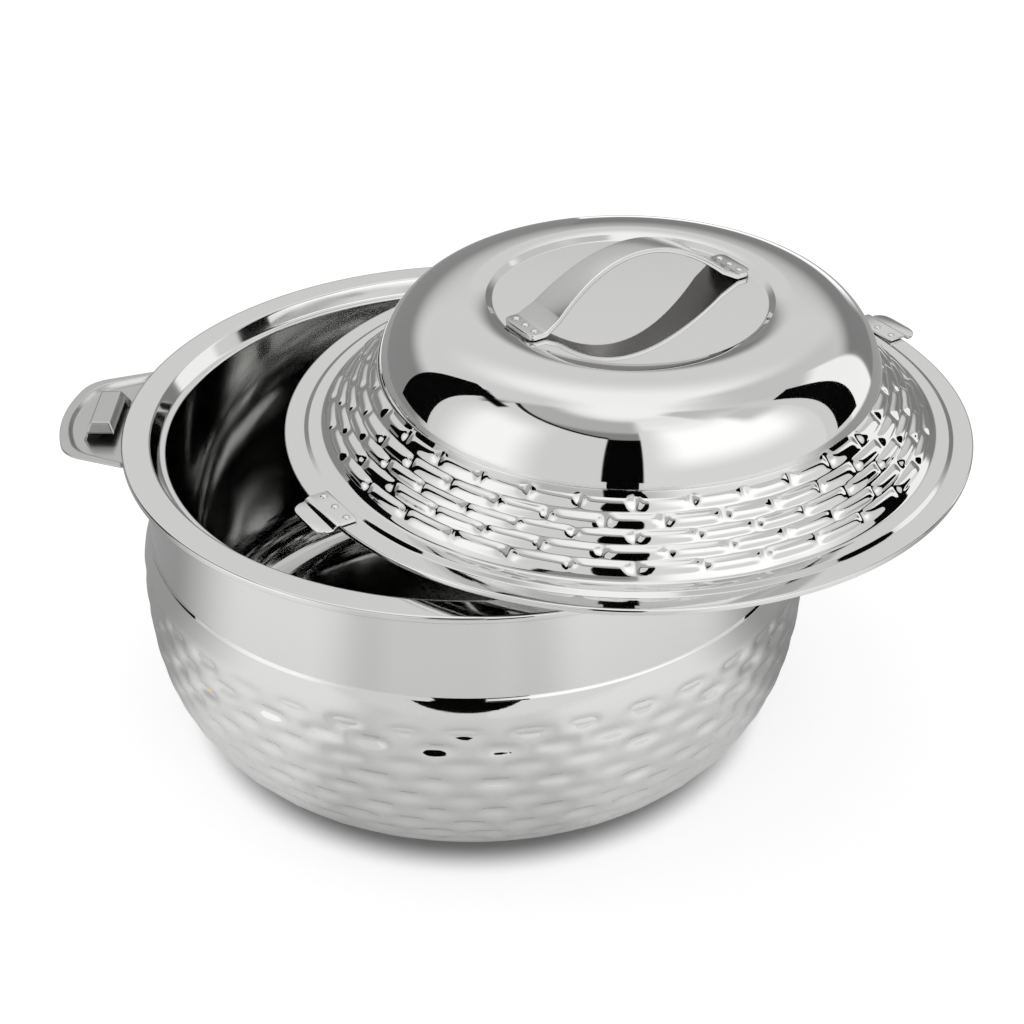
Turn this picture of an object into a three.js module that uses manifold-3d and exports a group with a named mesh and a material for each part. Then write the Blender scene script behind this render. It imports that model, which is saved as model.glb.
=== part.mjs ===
// Insulated chapati casserole: a double-walled stainless steel bowl with two side handles,
// and a lift-off twist-lock lid with a strap handle, lying off-centre on the bowl's rim.
// Millimetres, +Z up. The origin is the centre of the bowl's base, and the two side
// handles lie along X.

import * as THREE from 'three';
import { mergeVertices } from 'three/addons/utils/BufferGeometryUtils.js';
import Module from 'manifold-3d';

const wasm = await Module();
wasm.setup();

// Fits shared by all pieces
const seatGap = 0.3; // between two pieces that touch on the real casserole
const cutOverrun = 2; // how far every cutting body runs past the piece that it cuts

// Bowl: overall
const bowlHeight = 142;
const rimRadius = 150;
const rimWidth = 12.2;
const footRadius = 93;

// Bowl: inner pot, one drawn sheet from its floor to the rolled rim
const potSheet = 0.7;
const rimEdgeRound = 0.6;
const rimSkirt = 2.6;
const rimLipRound = 1.2;
const recessDepth = 6.4;
const recessDraft = 0.6;
const ledgeWidth = 5.4;
const potFloorHeight = 16;
const potWallDraft = 4;
const potFloorCorner = 24;

// Bowl: outer shell
const shellSheet = 0.7;
const rimOverhang = 8.3; // from the band out to the edge of the rim
const bandHeight = 44.4;
const bellySwell = 4.1; // from the band out to the widest place of the belly
const shoulderHeight = 14;
const bellyFullnessShares = [2.23, 2.94];
const footWidth = 9;
const footSlope = 4;
const baseRecess = 4;

// Bowl: the filling hole in its base, the plug in the hole and the plate over both
const fillHoleRadius = 6;
const fillPlugLip = 3;
const fillPlugSheet = 0.9;
const fillPlugStem = 2.6;
const basePlateInset = 18; // from the recess of the base in to the plate
const basePlateSheet = 0.8;
const basePlateFlange = 9;

// Side handles: pressed brackets under the rim, each with a catch for the lid's tongue
const handleReach = 27.5;
const handleRootHalfWidth = 39.3;
const handleCornerOut = 21.5;
const handleCornerHalfWidth = 31.5;
const handleCornerCut = 8;
const handleDrop = 3.2;
const handleSheet = 1;
const handleBorderHeight = 2;
const handleBorderWidth = 4.5;
const handleApronHeight = 12;
const handleApronHalfWidth = 32;
const handleRivetSpacing = 44;
const handleRivetDrop = 10.5;
const handleRivetShank = 1.5;
const catchHalfLength = 18.2;
const catchWidth = 15;
const catchSheet = 1;
const catchClearance = 0.6; // over the tongue of the closed lid
const catchLintel = 1.6;
const catchChamfer = 3.2;
const catchEndSlope = 5.2;

// Lid: cover, in the lid's own frame, with height 0 at the underside of its hem
const lidInset = 5.6; // from the edge of the rim in to the edge of the closed lid
const lidSheet = 0.6;
const hemWidth = 2.8;
const hemLayerGap = 0.3;
const ringStepInset = 9.4;
const ringStepWidth = 2;
const ringStep = 1.2;
const flangeWidth = 17.8;
const wallFootRound = 2;
const wallRun = 24.4; // from the foot of the wall in to the crease
const creaseHeight = 27.6;
const domeBulge = 2.5;
const domeBulgeHeight = 1.6;
const domeFullnessShares = [3.6, 1.35];
const lidTopHeight = 58;
const crownWidth = 45.8; // from the crease in to the disc
const discLipWidth = 2.8;
const discDepth = 2;

// Lid: liner, with the plug that centres the closed lid in the pot's mouth
const plugClearance = 2.3; // from the mouth of the pot in to the plug
const plugRound = 1.2;
const plugLandWidth = 2.8;
const linerDepth = 12; // from the cover to the liner
const linerCornerWidth = 24;
const linerCrown = 1;

// Lid: strap handle, riveted inside the recessed disc
const strapWidth = 20.5;
const strapWaist = 12;
const strapSheet = 2.4;
const strapTipInset = 1.4; // from the edge of the disc
const strapFootLength = 10.5;
const strapRise = 21.4;
const strapCorner = 3;
const strapRivetInset = 4; // from the tip
const strapRivetSpacing = 6.6;
const strapRivetShank = 0.8;

// Lid: lock tabs, riveted to the flange of the lid
const tabWidth = 25;
const tabSheet = 1.2;
const tabPlateReach = 7.8; // in from the edge of the lid
const tabTongueHeight = 1;
const tabTongueReach = 9.1;
const tabStepWidth = 1.8;
const tabCorner = 6;
const tabRivetInset = 3.1; // from the inner edge of the plate
const tabRivetSpacing = 9.2;
const tabRivetShank = 0.8;

// Rivets, as shares of the radius of their shank
const rivetHeadShare = 2;
const rivetRiseShare = 0.9;
const rivetTailShare = 1.6;
const rivetTailSheetShare = 0.5;
const tailRoom = 1.6; // free space between a riveted sheet and the insulation behind it

// Where the lid lies on the rim of the bowl
const lidShiftX = 65.5;
const lidShiftY = -13;
const lidTurn = THREE.MathUtils.degToRad(33.3);

// Facets round the turned pieces, and steps along their curves
const turnedFacets = 60;
const hiddenFacets = 30;
const rivetFacets = 6;
const shownSteps = 8;
const hiddenSteps = 5;
const cornerSteps = 4;

const steel = (color, roughness) =>
  new THREE.MeshStandardMaterial({ color, roughness, metalness: 1, flatShading: true });
const mirrorSteel = steel(0xd6d8da, 0.08);
const satinSteel = steel(0xc9cbcc, 0.25);
const brushedSteel = steel(0xb4b4b2, 0.35);
const foam = new THREE.MeshStandardMaterial({ color: 0xe6d7a3, roughness: 0.9, metalness: 0 });
const rubber = new THREE.MeshStandardMaterial({ color: 0x2b2b2b, roughness: 0.7, metalness: 0 });

// Outlines of turned pieces are points of radius and height.
const at = (radius, height) => new THREE.Vector2(radius, height);

// A quarter superellipse from a widest point, where it runs upright, to a flat end.
class RoundOver extends THREE.Curve {
  constructor(widest, end, fullnessShares) {
    super();
    Object.assign(this, { widest, end, fullnessShares });
  }
  getPoint(share) {
    const turn = (share * Math.PI) / 2;
    const across = Math.cos(turn) ** (2 / this.fullnessShares[0]);
    const along = Math.sin(turn) ** (2 / this.fullnessShares[1]);
    return at(
      this.end.x + (this.widest.x - this.end.x) * across,
      this.widest.y + (this.end.y - this.widest.y) * along,
    );
  }
}

// The path moved to its left by a distance, with mitred corners.
function moved(path, distance) {
  const left = (a, b) => at(a.y - b.y, b.x - a.x).normalize();
  return path.map((point, i) => {
    const before = left(path[Math.max(i - 1, 0)], path[Math.max(i, 1)]);
    const after = left(path[Math.min(i, path.length - 2)], path[Math.min(i + 1, path.length - 1)]);
    const mitre = before.clone().add(after).divideScalar(1 + before.dot(after));
    return point.clone().addScaledVector(mitre, distance);
  });
}

// A sheet: the path, and back along it or a plainer one moved to its left by the thickness.
const sheet = (path, thickness, plainer = path) => [
  ...path,
  ...moved(plainer, thickness).reverse(),
];

function signedArea(outline) {
  return outline.reduce((sum, point, i) => {
    const next = outline[(i + 1) % outline.length];
    return sum + (point.x * next.y - next.x * point.y) / 2;
  }, 0);
}

// Turns an outline about Z. The outline closes on itself, or starts and ends on the axis.
function turned(outline, facets) {
  const points = signedArea(outline) < 0 ? [...outline].reverse() : outline;
  const onAxis = points[0].x === 0 && points.at(-1).x === 0;
  const closed = onAxis ? points : [...points, points[0]];
  return new THREE.LatheGeometry(closed, facets).rotateX(Math.PI / 2);
}

// The insulation has fewer facets than the sheets that it lies between, so a side of it
// that goes round a sheet is drawn out until its flats clear that sheet.
const clearOfHiddenFlats = (point) =>
  at(point.x / Math.cos(Math.PI / hiddenFacets), point.y);

function toSolid(geometry) {
  const bare = geometry.index ? geometry.toNonIndexed() : geometry.clone();
  bare.deleteAttribute('normal');
  bare.deleteAttribute('uv');
  const merged = mergeVertices(bare);
  return new wasm.Manifold(
    new wasm.Mesh({
      numProp: 3,
      vertProperties: merged.attributes.position.array,
      triVerts: new Uint32Array(merged.index.array),
    }),
  );
}

function toGeometry(solid) {
  const { vertProperties, triVerts } = solid.getMesh();
  const geometry = new THREE.BufferGeometry();
  geometry.setAttribute('position', new THREE.BufferAttribute(vertProperties, 3));
  geometry.setIndex(new THREE.BufferAttribute(triVerts, 1));
  geometry.computeVertexNormals();
  return geometry;
}

const cut = (body, tools) => tools.reduce((rest, tool) => rest.subtract(toSolid(tool)), body);

// A plan shape given its thickness, from one height to another.
function raisedPlan(plan, low, high, curveSegments = 4) {
  return new THREE.ExtrudeGeometry(plan, {
    depth: high - low,
    bevelEnabled: false,
    curveSegments,
  }).translate(0, 0, low);
}

// An upright round bar about Z.
function bar(radius, low, high, facets) {
  return new THREE.CylinderGeometry(radius, radius, high - low, facets)
    .rotateX(Math.PI / 2)
    .translate(0, 0, (low + high) / 2);
}

function block(low, high) {
  const size = high.clone().sub(low);
  const middle = high.clone().add(low).divideScalar(2);
  return new THREE.BoxGeometry(size.x, size.y, size.z).translate(middle.x, middle.y, middle.z);
}

// A rectangle at one height drawn in to a smaller rectangle at another.
function frustum(bottom, top) {
  const corners = [bottom, top].flatMap(({ low, high, height }) => [
    new THREE.Vector3(low.x, low.y, height),
    new THREE.Vector3(high.x, low.y, height),
    new THREE.Vector3(high.x, high.y, height),
    new THREE.Vector3(low.x, high.y, height),
  ]);
  const quads = [[3, 2, 1, 0], [4, 5, 6, 7], [0, 1, 5, 4], [1, 2, 6, 5], [2, 3, 7, 6], [3, 0, 4, 7]];
  const order = quads.flatMap(([a, b, c, d]) => [a, b, c, a, c, d]);
  return new THREE.BufferGeometry().setFromPoints(order.map((i) => corners[i]));
}

function part(name, geometry, material) {
  const mesh = new THREE.Mesh(geometry, material);
  mesh.name = name;
  return mesh;
}

// A rivet along Z, with height 0 on the outer face of the stack that it holds together.
function rivet(shank, stack) {
  const crownShares = [0.65, 0.75];
  const head = shank * rivetHeadShare;
  const rise = shank * rivetRiseShare;
  const tail = shank * rivetTailShare;
  const tailTop = -stack - seatGap;
  const tailEnd = tailTop - shank * rivetTailSheetShare;
  return turned(
    [
      at(0, tailEnd),
      at(tail, tailEnd),
      at(tail, tailTop),
      at(shank, tailTop),
      at(shank, seatGap),
      at(head, seatGap),
      at(head * crownShares[0], seatGap + rise * crownShares[1]),
      at(0, seatGap + rise),
    ],
    rivetFacets,
  );
}

// The bowl

const rimTop = bowlHeight;
const rimInnerRadius = rimRadius - rimWidth;
const bandRadius = rimRadius - rimOverhang;
const bellyRadius = bandRadius + bellySwell;
const recessFloor = rimTop - recessDepth;
const recessRadius = rimInnerRadius - recessDraft;
const potMouthRadius = recessRadius - ledgeWidth;

// The food side of the pot, from the middle of its floor to the edge of the rolled skirt.
function potPath() {
  const wallRadius = potMouthRadius - potWallDraft;
  const corner = new THREE.QuadraticBezierCurve(
    at(wallRadius - potFloorCorner, potFloorHeight),
    at(wallRadius, potFloorHeight),
    at(wallRadius, potFloorHeight + potFloorCorner),
  );
  return [
    at(0, potFloorHeight),
    ...corner.getPoints(cornerSteps),
    at(potMouthRadius, recessFloor),
    at(recessRadius, recessFloor),
    at(rimInnerRadius, rimTop - rimLipRound),
    at(rimInnerRadius + rimLipRound, rimTop),
    at(rimRadius - rimEdgeRound, rimTop),
    at(rimRadius, rimTop - rimEdgeRound),
    at(rimRadius, rimTop - rimSkirt),
  ];
}

function innerPot() {
  const outline = sheet(potPath(), -potSheet);
  return part('inner_pot', turned(outline, turnedFacets), mirrorSteel);
}

const shellTop = rimTop - potSheet - seatGap;
const shellFlangeRadius = rimRadius - potSheet - seatGap;
const bellyHeight = rimTop - bandHeight - shoulderHeight;
const bellyCurve = new RoundOver(
  at(bellyRadius, bellyHeight),
  at(footRadius, 0),
  bellyFullnessShares,
);

// The outside of the shell, from the filling hole to its flange under the rim.
function shellPath(steps) {
  const middleShare = 0.4;
  const swell = Math.sin((middleShare * Math.PI) / 2);
  return [
    at(fillHoleRadius, baseRecess),
    at(footRadius - footWidth - footSlope, baseRecess),
    at(footRadius - footWidth, 0),
    ...bellyCurve.getSpacedPoints(steps).reverse(),
    at(
      bandRadius + (bellyRadius - bandRadius) * swell,
      bellyHeight + shoulderHeight * (1 - middleShare),
    ),
    at(bandRadius, bellyHeight + shoulderHeight),
    at(bandRadius, shellTop - shellSheet),
    at(shellFlangeRadius, shellTop - shellSheet),
  ];
}

// Two rivets hold each handle to the band of the shell.
const handleRivetAngles = [-1, 1].map((side) =>
  Math.asin((side * handleRivetSpacing) / (2 * bandRadius)),
);
const handleStack = handleSheet + seatGap + shellSheet;

// Puts what stands on height 0 on the outer face of a handle's apron.
function onApron(geometry, angle) {
  return geometry
    .rotateY(Math.PI / 2)
    .translate(bandRadius + seatGap + handleSheet, 0, rimTop - handleRivetDrop)
    .rotateZ(angle);
}

function handleRivetHoles() {
  const radius = handleRivetShank + seatGap;
  const low = -handleStack - cutOverrun;
  return [0, Math.PI].flatMap((side) =>
    handleRivetAngles.map((angle) =>
      onApron(bar(radius, low, cutOverrun, rivetFacets), side + angle),
    ),
  );
}

function outerShell() {
  const outline = sheet(shellPath(shownSteps), shellSheet, shellPath(hiddenSteps));
  const body = toSolid(turned(outline, turnedFacets));
  return part('outer_shell', toGeometry(cut(body, handleRivetHoles())), mirrorSteel);
}

// The insulation fills the space between shell and pot, with room behind the band for the
// tails of the handle rivets.
function bowlInsulation() {
  const shellSide = moved(shellPath(hiddenSteps), shellSheet + seatGap).slice(1, -2);
  const recessPoints = 2; // the slope from the recess of the base to the foot
  const band = shellSide.at(-1);
  const neckRadius = bandRadius - shellSheet - tailRoom;
  const neckTop = recessFloor - 2 * potSheet;
  const potSide = moved(potPath(), -potSheet - seatGap).slice(0, cornerSteps + 2);
  const mouthRadius = potMouthRadius + potSheet + seatGap;
  const fillRoom = at(fillHoleRadius, baseRecess + fillPlugStem);
  const outline = [
    at(0, fillRoom.y),
    fillRoom,
    at(fillRoom.x, shellSide[0].y),
    ...shellSide.slice(0, recessPoints).map(clearOfHiddenFlats),
    ...shellSide.slice(recessPoints),
    at(neckRadius, band.y),
    at(neckRadius, neckTop),
    ...[at(mouthRadius, neckTop), ...potSide.reverse()].map(clearOfHiddenFlats),
  ];
  return part('bowl_insulation', turned(outline, hiddenFacets), foam);
}

// The dished plate over the filling hole: its flange lies against the recess of the base,
// and its middle is level with the foot.
function basePlate() {
  const low = baseRecess - seatGap - basePlateSheet;
  const basePlateRadius = footRadius - footWidth - footSlope - basePlateInset;
  const wallRadius = basePlateRadius - basePlateFlange;
  const path = [
    at(0, 0),
    at(wallRadius, 0),
    at(wallRadius + low, low),
    at(basePlateRadius, low),
  ];
  return part('base_plate', turned(sheet(path, basePlateSheet), hiddenFacets), satinSteel);
}

function foamFillPlug() {
  const headTop = baseRecess - seatGap;
  const head = fillHoleRadius + fillPlugLip;
  const stem = fillHoleRadius - seatGap;
  const outline = [
    at(0, headTop - fillPlugSheet),
    at(head, headTop - fillPlugSheet),
    at(head, headTop),
    at(stem, headTop),
    at(stem, headTop + fillPlugStem),
    at(0, headTop + fillPlugStem),
  ];
  return part('foam_fill_plug', turned(outline, 2 * rivetFacets), rubber);
}

// Side handle, in its own frame: X points away from the axis of the bowl, and height 0 is
// the top of the rim.
function handlePlan(inset) {
  const tip = rimRadius + handleReach - inset;
  const corner = at(rimRadius + handleCornerOut - inset, handleCornerHalfWidth - inset);
  const side = at(rimRadius, handleRootHalfWidth - inset);
  const slope = (side.y - corner.y) / (corner.x - side.x);
  const root = at(bandRadius - cutOverrun, 0);
  root.y = side.y + slope * (side.x - root.x);
  const cornerIn = at(corner.x - handleCornerCut, corner.y + slope * handleCornerCut);
  const bowShare = 0.4;
  const cornerOut = at(corner.x + (tip - corner.x) * bowShare, corner.y - handleCornerCut);
  const plan = new THREE.Shape();
  plan.moveTo(root.x, -root.y);
  plan.lineTo(cornerIn.x, -cornerIn.y);
  plan.quadraticCurveTo(corner.x, -corner.y, cornerOut.x, -cornerOut.y);
  plan.quadraticCurveTo(2 * tip - cornerOut.x, 0, cornerOut.x, cornerOut.y);
  plan.quadraticCurveTo(corner.x, corner.y, cornerIn.x, cornerIn.y);
  plan.lineTo(root.x, root.y);
  return plan;
}

const panelTop = -handleDrop;
const panelLow = panelTop - handleSheet;

// The catch: a hood over the panel. Under it the slot for the tongue is open towards the
// rim and at the +Y end, where the tongue comes in, and the other end is the stop.
function catchHood() {
  const mouth = seatGap + tabTongueHeight + tabSheet + catchClearance;
  const inner = rimRadius + 2 * seatGap;
  const outer = inner + catchWidth;
  const base = {
    low: at(inner, -catchHalfLength),
    high: at(outer, catchHalfLength),
    height: panelTop - handleSheet / 2,
  };
  const roof = {
    low: at(inner + catchChamfer, catchEndSlope - catchHalfLength),
    high: at(outer - catchChamfer, catchHalfLength - catchChamfer),
    height: mouth + catchLintel,
  };
  const inwards = ({ low, high }, height) => ({
    low: low.clone().addScalar(catchSheet),
    high: high.clone().subScalar(catchSheet),
    height,
  });
  const hollow = frustum(inwards(base, panelTop), inwards(roof, roof.height - catchSheet));
  const slot = (fromY, toX) =>
    block(
      new THREE.Vector3(inner - cutOverrun, fromY, panelTop),
      new THREE.Vector3(toX, catchHalfLength + cutOverrun, mouth),
    );
  const rimSide = slot(roof.low.y + catchSheet, roof.low.x + catchSheet);
  const openEnd = slot(0, roof.high.x);
  const leadIn = slot(roof.high.y, outer + cutOverrun);
  return cut(toSolid(frustum(base, roof)), [hollow, rimSide, openEnd, leadIn]);
}

// The bracket: a tray with a raised border, and a curved apron down the band of the shell.
function sideHandle() {
  const borderTop = panelTop + handleBorderHeight;
  const border = toSolid(raisedPlan(handlePlan(0), borderTop - handleSheet, borderTop));
  const dish = toSolid(raisedPlan(handlePlan(handleBorderWidth - handleSheet), panelLow, borderTop));
  const wallRadius = bandRadius + seatGap;
  const apronLow = panelLow - handleApronHeight;
  const cutTop = borderTop + cutOverrun;
  const tray = cut(border.add(dish), [
    raisedPlan(handlePlan(handleBorderWidth), panelTop, cutTop),
    bar(rimRadius + seatGap, -rimSkirt - seatGap, cutTop, turnedFacets),
    bar(wallRadius, panelLow - cutOverrun, cutTop, turnedFacets),
  ]);
  const apronRing = cut(toSolid(bar(wallRadius + handleSheet, apronLow, panelTop, turnedFacets)), [
    bar(wallRadius, apronLow - cutOverrun, panelTop + cutOverrun, turnedFacets),
  ]);
  const apronSpan = block(
    new THREE.Vector3(0, -handleApronHalfWidth, apronLow),
    new THREE.Vector3(rimRadius, handleApronHalfWidth, panelTop),
  );
  return tray.add(apronRing.intersect(toSolid(apronSpan))).add(catchHood());
}

function sideHandles() {
  const bracket = toGeometry(sideHandle()).translate(0, 0, rimTop);
  return ['right', 'left'].flatMap((side, i) => {
    const turn = i * Math.PI;
    const body = cut(toSolid(bracket.clone().rotateZ(turn)), handleRivetHoles());
    const ends = i ? ['back', 'front'] : ['front', 'back'];
    const rivets = ends.map((end, j) =>
      part(
        `handle_rivet_${side}_${end}`,
        onApron(rivet(handleRivetShank, handleStack), turn + handleRivetAngles[j]),
        satinSteel,
      ),
    );
    return [part(`side_handle_${side}`, toGeometry(body), satinSteel), ...rivets];
  });
}

// The lid, in its own frame

const lidRadius = rimRadius - lidInset;
const ringStepRadius = lidRadius - ringStepInset;
const wallFootRadius = lidRadius - flangeWidth;
const creaseRadius = wallFootRadius - wallRun;
const discRadius = creaseRadius - crownWidth;
const plugRadius = potMouthRadius - plugClearance;
const plugDepth = recessDepth - seatGap;
const strapTip = discRadius - strapTipInset;
const tabInnerRadius = lidRadius - tabPlateReach;
const linerFlange = lidSheet + hemLayerGap;
const coverFlange = linerFlange + lidSheet + hemLayerGap;
const flangeTop = coverFlange + lidSheet;
const ringTop = flangeTop + ringStep;
const wallFoot = at(wallFootRadius, ringTop + wallFootRound);
const crease = at(creaseRadius, creaseHeight);
const domeWidest = at(creaseRadius + domeBulge, creaseHeight + domeBulgeHeight);
const discLip = at(discRadius + discLipWidth, lidTopHeight);
const discHeight = lidTopHeight - discDepth;
const domeCurve = new RoundOver(domeWidest, discLip, domeFullnessShares);

// The outside of the cover, from its folded hem to the middle of the top disc.
function coverPath(steps) {
  return [
    at(lidRadius - hemWidth, 0),
    at(lidRadius, 0),
    at(lidRadius, flangeTop),
    at(ringStepRadius + ringStepWidth / 2, flangeTop),
    at(ringStepRadius - ringStepWidth / 2, ringTop),
    at(wallFootRadius + wallFootRound, ringTop),
    wallFoot,
    crease,
    ...domeCurve.getSpacedPoints(steps),
    at(discRadius, discHeight),
    at(0, discHeight),
  ];
}

// The places of three rivets in a row on each side of the axis of the lid.
function rivetPlaces(fromAxis, spacing) {
  return ['right', 'left'].flatMap((side, i) =>
    [-1, 0, 1].map((step, j) => ({
      name: `${side}_${j + 1}`,
      x: i ? -fromAxis : fromAxis,
      y: step * spacing,
    })),
  );
}

const strapRivetPlaces = rivetPlaces(strapTip - strapRivetInset, strapRivetSpacing);
const tabRivetPlaces = rivetPlaces(tabInnerRadius + tabRivetInset, tabRivetSpacing);

const rivetHoles = (places, shank, low, high) =>
  places.map(({ x, y }) =>
    bar(shank + seatGap, low - cutOverrun, high + cutOverrun, rivetFacets).translate(x, y, 0),
  );

function lidCover() {
  const outline = sheet(coverPath(shownSteps), lidSheet, coverPath(hiddenSteps));
  const body = toSolid(turned(outline, turnedFacets));
  const holes = [
    ...rivetHoles(strapRivetPlaces, strapRivetShank, discHeight - lidSheet, discHeight),
    ...rivetHoles(tabRivetPlaces, tabRivetShank, flangeTop, flangeTop),
  ];
  return part('lid_cover', toGeometry(cut(body, holes)), mirrorSteel);
}

// The food side of the liner, from the middle of its top to the edge of its flange.
function linerPath() {
  const land = plugRadius - plugRound - plugLandWidth;
  const wallWay = crease.clone().sub(wallFoot).normalize();
  const wallTop = crease.clone().addScaledVector(at(-wallWay.y, wallWay.x), linerDepth);
  const linerTop = discHeight - lidSheet - linerDepth;
  const corner = new THREE.QuadraticBezierCurve(
    at(domeWidest.x - linerDepth - linerCornerWidth, linerTop - linerCrown),
    at(domeWidest.x - linerDepth, linerTop - linerCrown),
    at(domeWidest.x - linerDepth, linerTop - linerDepth),
  );
  return [
    at(0, linerTop),
    ...corner.getPoints(cornerSteps),
    wallTop,
    at(land, -plugDepth),
    at(land + plugLandWidth, -plugDepth),
    at(plugRadius, plugRound - plugDepth),
    at(plugRadius, linerFlange),
    at(lidRadius - lidSheet - hemLayerGap, linerFlange),
  ];
}

function lidLiner() {
  const outline = sheet(linerPath(), lidSheet);
  const body = toSolid(turned(outline, turnedFacets));
  const holes = rivetHoles(tabRivetPlaces, tabRivetShank, linerFlange, linerFlange);
  return part('lid_liner', toGeometry(cut(body, holes)), mirrorSteel);
}

function lidInsulation() {
  const wallStart = 6; // the point of the cover's path at the foot of its wall
  const flangePoints = 3; // the points of the liner's path from the plug's corner out
  const coverSide = moved(coverPath(hiddenSteps), lidSheet + tailRoom).slice(wallStart);
  const linerSide = moved(linerPath(), lidSheet + seatGap).slice(0, -flangePoints);
  const ringRadius = coverSide[0].x;
  const outline = [
    ...linerSide.slice(0, -1).map(clearOfHiddenFlats),
    at(ringRadius, linerSide.at(-2).y),
    ...coverSide,
  ];
  return part('lid_insulation', turned(outline, hiddenFacets), foam);
}

// A strap in plan: rounded corners, and drawn in to a waist between its two bends.
function waistedPlan(tip, bend, width, waist, corner) {
  const half = width / 2;
  const plan = new THREE.Shape();
  plan.moveTo(-bend, -half);
  plan.quadraticCurveTo(0, half - waist, bend, -half);
  plan.lineTo(tip - corner, -half);
  plan.quadraticCurveTo(tip, -half, tip, corner - half);
  plan.lineTo(tip, half - corner);
  plan.quadraticCurveTo(tip, half, tip - corner, half);
  plan.lineTo(bend, half);
  plan.quadraticCurveTo(0, waist - half, -bend, half);
  plan.lineTo(corner - tip, half);
  plan.quadraticCurveTo(-tip, half, -tip, half - corner);
  plan.lineTo(-tip, corner - half);
  plan.quadraticCurveTo(-tip, -half, corner - tip, -half);
  return plan;
}

// A tab in plan: square at its inner end, with rounded corners at its outer end.
function tabPlan(from, to, width, corner) {
  const half = width / 2;
  const plan = new THREE.Shape();
  plan.moveTo(from, -half);
  plan.lineTo(to - corner, -half);
  plan.quadraticCurveTo(to, -half, to, corner - half);
  plan.lineTo(to, half - corner);
  plan.quadraticCurveTo(to, half, to - corner, half);
  plan.lineTo(from, half);
  return plan;
}

// Strip bent along a path that is seen from the side, trimmed to a plan.
function bentStrip(path, thickness, width, plan) {
  const side = new THREE.Shape(sheet(path, thickness));
  const strip = new THREE.ExtrudeGeometry(side, { depth: width, bevelEnabled: false })
    .rotateX(Math.PI / 2)
    .translate(0, width / 2, 0);
  const heights = path.map((point) => point.y);
  const low = Math.min(...heights) - cutOverrun;
  const high = Math.max(...heights) + thickness + cutOverrun;
  return toSolid(strip).intersect(toSolid(raisedPlan(plan, low, high)));
}

// The strap: two flat feet on the disc, and between them a parabolic arch with a waist.
function strapHandle() {
  const low = discHeight + seatGap;
  const strapBend = strapTip - strapFootLength;
  const steps = 2 * shownSteps;
  const arch = Array.from({ length: steps + 1 }, (_, i) => {
    const share = (2 * i) / steps - 1;
    return at(strapBend * share, low + strapRise * (1 - share ** 2));
  });
  const path = [at(-strapTip, low), ...arch, at(strapTip, low)];
  const plan = waistedPlan(strapTip, strapBend, strapWidth, strapWaist, strapCorner);
  const body = cut(
    bentStrip(path, strapSheet, strapWidth, plan),
    rivetHoles(strapRivetPlaces, strapRivetShank, low, low + strapSheet),
  );
  return part('lid_strap_handle', toGeometry(body), brushedSteel);
}

// A lock tab: a plate on the flange, a step down past the edge, and the tongue.
function lockTabs() {
  const plateLow = flangeTop + seatGap;
  const stepStart = lidRadius + 2 * seatGap;
  const tip = lidRadius + tabTongueReach;
  const path = [
    at(tabInnerRadius, plateLow),
    at(stepStart, plateLow),
    at(stepStart + tabStepWidth, tabTongueHeight),
    at(tip, tabTongueHeight),
  ];
  const plan = tabPlan(tabInnerRadius, tip, tabWidth, tabCorner);
  const body = cut(
    bentStrip(path, tabSheet, tabWidth, plan),
    rivetHoles(tabRivetPlaces, tabRivetShank, plateLow, plateLow + tabSheet),
  );
  return ['right', 'left'].map((side, i) =>
    part(`lock_tab_${side}`, toGeometry(body).rotateZ(i * Math.PI), satinSteel),
  );
}

function lidRivets() {
  const strapTop = discHeight + seatGap + strapSheet;
  const strapStack = strapSheet + seatGap + lidSheet;
  const tabTop = flangeTop + seatGap + tabSheet;
  const tabStack = tabTop - linerFlange;
  const strapRivets = strapRivetPlaces.map(({ name, x, y }) => {
    const geometry = rivet(strapRivetShank, strapStack).translate(x, y, strapTop);
    return part(`strap_rivet_${name}`, geometry, satinSteel);
  });
  const tabRivets = tabRivetPlaces.map(({ name, x, y }) => {
    const geometry = rivet(tabRivetShank, tabStack).translate(x, y, tabTop);
    return part(`tab_rivet_${name}`, geometry, satinSteel);
  });
  return [...strapRivets, ...tabRivets];
}

const bowl = new THREE.Group();
bowl.add(innerPot(), outerShell(), bowlInsulation(), basePlate(), foamFillPlug());
bowl.add(...sideHandles());

// The plug of the lid stands on the flat rim of the bowl.
const lid = new THREE.Group();
lid.add(lidCover(), lidLiner(), lidInsulation(), strapHandle(), ...lockTabs(), ...lidRivets());
lid.position.set(lidShiftX, lidShiftY, rimTop + seatGap + plugDepth);
lid.rotation.z = lidTurn;

const casserole = new THREE.Group();
casserole.add(bowl, lid);

export default casserole;
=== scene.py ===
"""Stainless steel insulated casserole: a hammered double-walled bowl and its domed lid.

Sizes are in metres in the panel and in millimetres inside the shape functions. The origin is
the centre of the base, Z points up, and the lid lies across the rim as in the photograph.
"""

import math

import bpy
import numpy as np
from bpy.props import FloatProperty, FloatVectorProperty, IntProperty, PointerProperty, StringProperty
from mathutils import Matrix, Vector


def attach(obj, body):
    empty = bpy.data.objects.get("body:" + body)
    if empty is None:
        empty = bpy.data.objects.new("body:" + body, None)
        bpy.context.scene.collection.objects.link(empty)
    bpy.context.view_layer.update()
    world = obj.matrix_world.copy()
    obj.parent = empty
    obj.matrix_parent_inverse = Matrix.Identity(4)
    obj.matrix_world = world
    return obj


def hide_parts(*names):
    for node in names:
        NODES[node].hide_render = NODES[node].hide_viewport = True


bl_info = {
    "name": "Insulated casserole",
    "version": (1, 0, 0),
    "blender": (4, 5, 0),
    "location": "3D View > Sidebar > Casserole",
    "description": "Makes the hammered steel casserole, its finishes and its studio stage",
    "category": "Add Mesh",
}

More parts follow.
